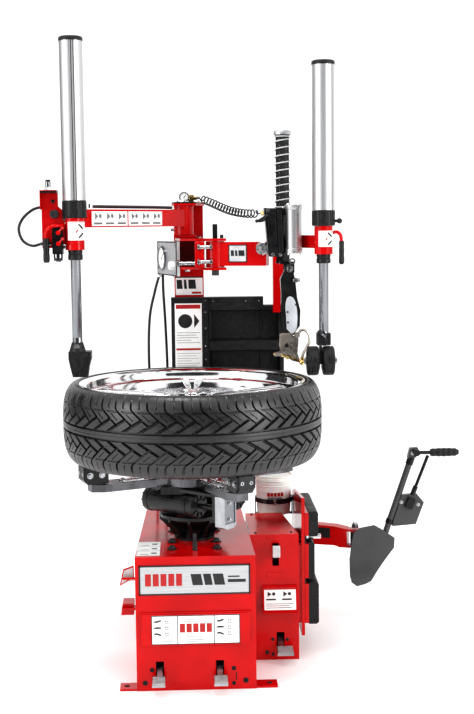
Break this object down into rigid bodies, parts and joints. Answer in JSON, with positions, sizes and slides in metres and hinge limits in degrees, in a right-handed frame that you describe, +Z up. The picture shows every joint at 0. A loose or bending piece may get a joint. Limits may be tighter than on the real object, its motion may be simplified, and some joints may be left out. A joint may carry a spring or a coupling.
{
  "type": "tire changer machine",
  "caption": "Swing-arm tyre changer with a clamping turntable holding a wheel, sprung mounting tool, two helper towers and a side bead breaker.",
  "frame": {"origin": "on the floor, under the turntable's axis", "axes": "+Z up; the operator's pedals face -Y; the bead breaker is on the +X side"},
  "size_m": [1.4019, 1.082, 1.91],
  "materials": {
    "red_paint": "gloss red enamel",
    "black_plastic": "satin black",
    "rubber": "matt black rubber",
    "tyre_rubber": "matt black tyre rubber",
    "steel": "machined steel",
    "chrome_plate": "polished chrome",
    "aluminium": "anodised aluminium",
    "white_plastic": "white moulded plastic",
    "grey_housing": "light grey paint",
    "cast": "dark painted casting"
  },
  "bodies": {
    "base": {"main_cabinet": "red_paint", "side_cabinet": "red_paint", "gearbox": "cast", "motor": "cast", "drive_belt": "rubber", "column": "red_paint", "tool_board": "black_plastic", "arm_bracket": "red_paint", "gauge_housing": "grey_housing", "helper_post": "red_paint", "pad_plate": "red_paint", "bead_pads": "rubber", "bucket_ring": "steel", "coil_hose": "rubber", "gauge_hose_1": "rubber", "gauge_hose_2": "rubber"},
    "turntable": {"table": "steel", "clamp_cylinders": "aluminium", "rim": "aluminium", "tyre": "tyre_rubber"},
    "clamp_jaw_1": {"jaw_1": "cast"},
    "clamp_jaw_2": {"jaw_2": "cast"},
    "clamp_jaw_3": {"jaw_3": "cast"},
    "clamp_jaw_4": {"jaw_4": "cast"},
    "gearbox_input": {"gearbox_pulley": "steel"},
    "motor_shaft": {"motor_pulley": "steel"},
    "left_pedal": {"pedal_left": "steel"},
    "right_pedal": {"pedal_right": "steel"},
    "side_pedal": {"pedal_side": "steel"},
    "mode_lever": {"valve_lever": "steel"},
    "left_helper": {"left_arm": "red_paint", "left_cylinder": "aluminium", "left_collar": "black_plastic", "valve_unit": "black_plastic", "arm_hose": "rubber", "valve_hose": "rubber"},
    "left_press_rod": {"left_rod": "chrome_plate", "left_press": "black_plastic"},
    "toggle_1": {"valve_toggle_1": "red_paint"},
    "toggle_2": {"valve_toggle_2": "red_paint"},
    "mounting_arm": {"tool_arm": "red_paint", "tool_housing": "black_plastic", "tool_air_cylinder": "aluminium"},
    "mounting_column": {"tool_column": "steel", "tool_spring": "steel", "tool_knuckle": "steel"},
    "mounting_lever": {"tool_lever": "cast", "mounting_head": "steel"},
    "lifting_hook": {"bead_hook": "steel"},
    "right_helper": {"helper_arm": "red_paint", "right_cylinder": "aluminium", "right_collar": "black_plastic"},
    "right_press_rod": {"right_rod": "chrome_plate"},
    "press_roller_left": {"roller_left": "rubber"},
    "press_roller_right": {"roller_right": "rubber"},
    "breaker": {"breaker_arm": "red_paint"},
    "breaker_shovel": {"breaker_blade": "cast"},
    "hand_control": {"control_grip": "rubber"},
    "push_rod": {"control_rod": "steel"},
    "paste_bucket": {"bucket": "white_plastic"}
  },
  "joints": [
    {"name": "turntable_spin", "type": "hinge", "parent": "base", "child": "turntable", "pos_m": [0, 0, 0.6], "axis": [0, 0, 1], "continuous": true},
    {"name": "jaw_1_slide", "type": "slide", "parent": "turntable", "child": "clamp_jaw_1", "axis": [0.4067, -0.9135, 0], "range_m": [-0.04, 0]},
    {"name": "jaw_2_slide", "type": "slide", "parent": "turntable", "child": "clamp_jaw_2", "axis": [0.9135, 0.4067, 0], "range_m": [-0.04, 0]},
    {"name": "jaw_3_slide", "type": "slide", "parent": "turntable", "child": "clamp_jaw_3", "axis": [-0.4067, 0.9135, 0], "range_m": [-0.04, 0]},
    {"name": "jaw_4_slide", "type": "slide", "parent": "turntable", "child": "clamp_jaw_4", "axis": [-0.9135, -0.4067, 0], "range_m": [-0.04, 0]},
    {"name": "gearbox_pulley_spin", "type": "hinge", "parent": "base", "child": "gearbox_input", "pos_m": [0, 0, 0.355], "axis": [0, 0, 1], "continuous": true},
    {"name": "motor_pulley_spin", "type": "hinge", "parent": "base", "child": "motor_shaft", "pos_m": [0, 0.27, 0.355], "axis": [0, 0, 1], "continuous": true},
    {"name": "left_pedal_press", "type": "hinge", "parent": "base", "child": "left_pedal", "pos_m": [-0.107, -0.13, 0.1], "axis": [1, 0, 0], "range_deg": [0, 9], "stiffness_Nm_per_rad": 30, "springref_deg": -4.58},
    {"name": "right_pedal_press", "type": "hinge", "parent": "base", "child": "right_pedal", "pos_m": [0.0685, -0.13, 0.1], "axis": [1, 0, 0], "range_deg": [0, 9], "stiffness_Nm_per_rad": 30, "springref_deg": -4.58},
    {"name": "side_pedal_press", "type": "hinge", "parent": "base", "child": "side_pedal", "pos_m": [0.264, 0.111, 0.1], "axis": [1, 0, 0], "range_deg": [0, 9], "stiffness_Nm_per_rad": 30, "springref_deg": -4.58},
    {"name": "mode_lever_turn", "type": "hinge", "parent": "base", "child": "mode_lever", "pos_m": [0.25, 0.028, 0.33], "axis": [1, 0, 0], "range_deg": [-12, 12]},
    {"name": "left_arm_swing", "type": "hinge", "parent": "base", "child": "left_helper", "pos_m": [-0.02, 0.44, 1.37], "axis": [0, 0, 1], "range_deg": [-50, 35]},
    {"name": "left_rod_slide", "type": "slide", "parent": "left_helper", "child": "left_press_rod", "axis": [0, 0, 1], "range_m": [-0.01, 0.2]},
    {"name": "toggle_1_turn", "type": "hinge", "parent": "left_helper", "child": "toggle_1", "pos_m": [-0.391, -0.037, 1.335], "axis": [0, 1, 0], "range_deg": [-35, 35]},
    {"name": "toggle_2_turn", "type": "hinge", "parent": "left_helper", "child": "toggle_2", "pos_m": [-0.391, -0.037, 1.303], "axis": [0, 1, 0], "range_deg": [-35, 35]},
    {"name": "mounting_arm_swing", "type": "hinge", "parent": "base", "child": "mounting_arm", "pos_m": [0.08, 0.27, 1.26], "axis": [0, 0, 1], "range_deg": [-34, 0]},
    {"name": "mounting_column_slide", "type": "slide", "parent": "mounting_arm", "child": "mounting_column", "axis": [0, 0, 1], "range_m": [-0.02, 0.012], "deforming": ["tool_spring"]},
    {"name": "mounting_lever_tilt", "type": "hinge", "parent": "mounting_column", "child": "mounting_lever", "pos_m": [0.313, 0.215, 1.214], "axis": [0, 1, 0], "range_deg": [-6, 12]},
    {"name": "hook_swing", "type": "hinge", "parent": "mounting_lever", "child": "lifting_hook", "pos_m": [0.336, 0.19, 1.001], "axis": [0, 1, 0], "range_deg": [-15, 0]},
    {"name": "helper_arm_swing", "type": "hinge", "parent": "base", "child": "right_helper", "pos_m": [0.295, 0.42, 1.3], "axis": [0, 0, 1], "range_deg": [0, 70]},
    {"name": "right_rod_slide", "type": "slide", "parent": "right_helper", "child": "right_press_rod", "axis": [0, 0, 1], "range_m": [0, 0.18]},
    {"name": "roller_left_spin", "type": "hinge", "parent": "right_press_rod", "child": "press_roller_left", "pos_m": [0.4015, 0.1, 0.928], "axis": [1, 0, 0], "continuous": true},
    {"name": "roller_right_spin", "type": "hinge", "parent": "right_press_rod", "child": "press_roller_right", "pos_m": [0.4015, 0.1, 0.928], "axis": [1, 0, 0], "continuous": true},
    {"name": "breaker_arm_swing", "type": "hinge", "parent": "base", "child": "breaker", "pos_m": [0.375, 0.4, 0.31], "axis": [0, 0, 1], "range_deg": [-38, 22]},
    {"name": "breaker_blade_turn", "type": "hinge", "parent": "breaker", "child": "breaker_shovel", "pos_m": [0.54235, 0.34883, 0.297], "axis": [0, 0, 1], "range_deg": [-10, 12]},
    {"name": "control_grip_turn", "type": "hinge", "parent": "breaker_shovel", "child": "hand_control", "pos_m": [0.744, 0.31, 0.592], "axis": [0, 1, 0], "range_deg": [-8, 8], "stiffness_Nm_per_rad": 4, "springref_deg": -1.72},
    {"name": "control_rod_slide", "type": "slide", "parent": "breaker_shovel", "child": "push_rod", "axis": [-0.3611, 0, -0.9325], "range_m": [-0.006, 0.006]},
    {"name": "bucket_lift", "type": "slide", "parent": "base", "child": "paste_bucket", "axis": [0, 0, 1], "range_m": [0, 0.15]}
  ],
  "couplings": [
    {"joint": "jaw_2_slide", "follows": "jaw_1_slide", "ratio": 1},
    {"joint": "jaw_3_slide", "follows": "jaw_1_slide", "ratio": 1},
    {"joint": "jaw_4_slide", "follows": "jaw_1_slide", "ratio": 1},
    {"joint": "motor_pulley_spin", "follows": "gearbox_pulley_spin", "ratio": 1.9333},
    {"joint": "control_rod_slide", "follows": "control_grip_turn", "m_per_rad": 0.0402}
  ]
}
